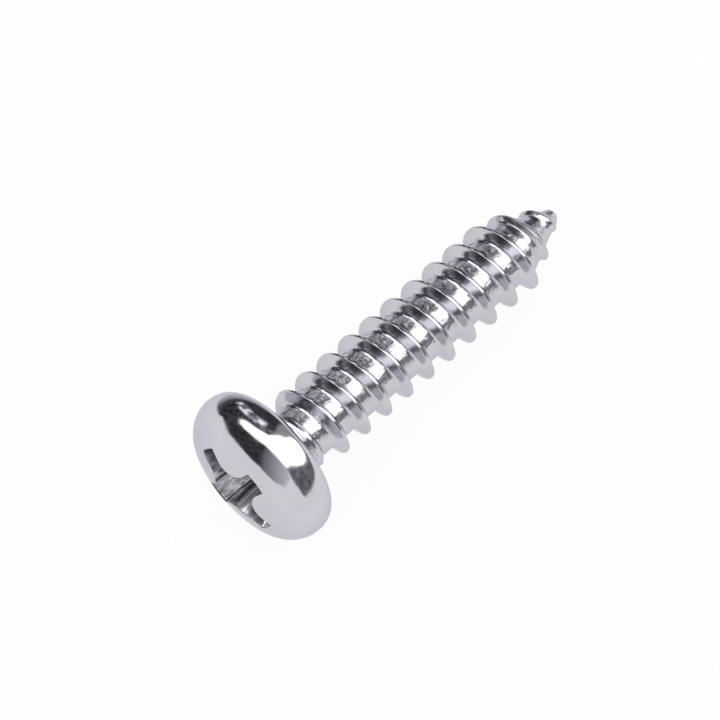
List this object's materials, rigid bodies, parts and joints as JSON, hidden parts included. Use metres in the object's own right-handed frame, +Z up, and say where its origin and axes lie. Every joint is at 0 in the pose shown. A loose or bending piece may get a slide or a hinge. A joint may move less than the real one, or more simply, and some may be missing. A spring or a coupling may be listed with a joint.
{
  "type": "sheet metal screw",
  "caption": "Short sheet metal screw with a pan head, a cross recess, a coarse thread along the whole shank and a cone point.",
  "frame": {"origin": "middle of the screw's footprint, on the surface that it lies on", "axes": "+Z up from that surface, +X along the screw from its head towards its point; the axis of the screw leans down towards the point by about 7 degrees, because it rests on the rim of the head and the crest of the thread"},
  "size_m": [0.0214, 0.0078, 0.0078],
  "materials": {
    "bright_steel": "bright plated steel, polished, with fine forming marks in the thread and the recess"
  },
  "bodies": {
    "root": {"screw": "bright_steel"}
  },
  "joints": []
}
